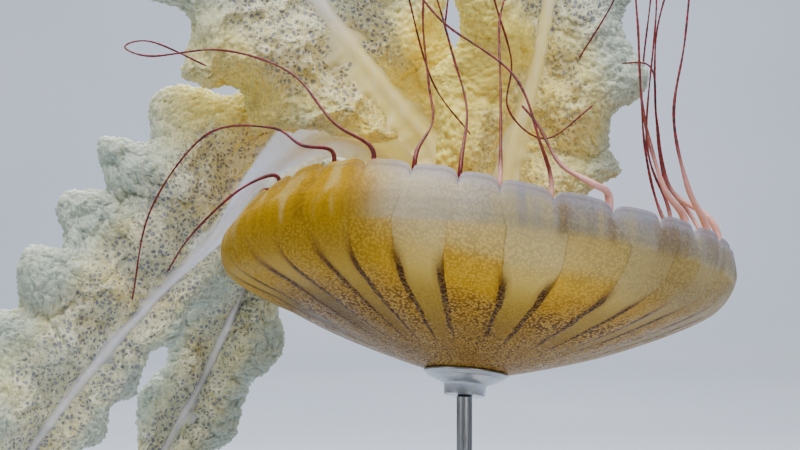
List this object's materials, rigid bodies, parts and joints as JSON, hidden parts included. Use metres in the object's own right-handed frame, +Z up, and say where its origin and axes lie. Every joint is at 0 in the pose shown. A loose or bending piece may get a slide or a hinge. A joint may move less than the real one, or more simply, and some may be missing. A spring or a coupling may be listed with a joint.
{
  "type": "sea nettle jellyfish",
  "caption": "Life-size still model of a sea nettle jellyfish: striped golden bell turned bell-down, frilled oral arms and long tentacles, on a plain rod stand.",
  "frame": {"origin": "centre of the stand's underside, on the floor", "axes": "+Z up; the front, from which the animal is seen in its pose, looks along +Y, with +X to the right"},
  "size_m": [0.4617, 0.327, 0.6186],
  "materials": {
    "bell_jelly": "wet translucent jelly, golden brown with darker radial lines",
    "mouth_jelly": "wet translucent jelly, cream",
    "arm_web_jelly": "wet clear jelly, pale lavender grey",
    "arm_frill_jelly": "soft crimped jelly, cream to yellow",
    "tentacle_jelly": "wet, dark maroon, pink at the root",
    "stand_steel": "brushed"
  },
  "bodies": {
    "root": {"arm_far_lower_frill_1": "arm_frill_jelly", "arm_far_lower_frill_2": "arm_frill_jelly", "arm_far_upper_frill_1": "arm_frill_jelly", "arm_far_upper_frill_2": "arm_frill_jelly", "arm_far_web": "arm_web_jelly", "arm_left_lower_frill_1": "arm_frill_jelly", "arm_left_lower_frill_2": "arm_frill_jelly", "arm_left_upper_frill_1": "arm_frill_jelly", "arm_left_upper_frill_2": "arm_frill_jelly", "arm_left_web": "arm_web_jelly", "arm_right_lower_frill_1": "arm_frill_jelly", "arm_right_lower_frill_2": "arm_frill_jelly", "arm_right_upper_frill_1": "arm_frill_jelly", "arm_right_upper_frill_2": "arm_frill_jelly", "arm_right_web": "arm_web_jelly", "arm_upper_lower_frill_1": "arm_frill_jelly", "arm_upper_lower_frill_2": "arm_frill_jelly", "arm_upper_upper_frill_1": "arm_frill_jelly", "arm_upper_upper_frill_2": "arm_frill_jelly", "arm_upper_web": "arm_web_jelly", "bell": "bell_jelly", "mouth_stalk": "mouth_jelly", "stand_base": "stand_steel", "stand_cup": "stand_steel", "stand_rod": "stand_steel", "tentacle_01": "tentacle_jelly", "tentacle_02_1": "tentacle_jelly", "tentacle_02_2": "tentacle_jelly", "tentacle_03": "tentacle_jelly", "tentacle_04": "tentacle_jelly", "tentacle_05_1": "tentacle_jelly", "tentacle_05_2": "tentacle_jelly", "tentacle_06_1": "tentacle_jelly", "tentacle_06_2": "tentacle_jelly", "tentacle_07": "tentacle_jelly", "tentacle_08": "tentacle_jelly", "tentacle_09": "tentacle_jelly", "tentacle_10": "tentacle_jelly", "tentacle_11": "tentacle_jelly", "tentacle_12": "tentacle_jelly", "tentacle_13": "tentacle_jelly", "tentacle_14": "tentacle_jelly", "tentacle_15": "tentacle_jelly", "tentacle_16": "tentacle_jelly", "tentacle_17": "tentacle_jelly", "tentacle_18_1": "tentacle_jelly", "tentacle_18_2": "tentacle_jelly", "tentacle_19": "tentacle_jelly", "tentacle_20_1": "tentacle_jelly", "tentacle_20_2": "tentacle_jelly", "tentacle_21": "tentacle_jelly", "tentacle_22_1": "tentacle_jelly", "tentacle_22_2": "tentacle_jelly", "tentacle_23_1": "tentacle_jelly", "tentacle_23_2": "tentacle_jelly", "tentacle_24_1": "tentacle_jelly", "tentacle_24_2": "tentacle_jelly", "tentacle_25_1": "tentacle_jelly", "tentacle_25_2": "tentacle_jelly"}
  },
  "joints": []
}
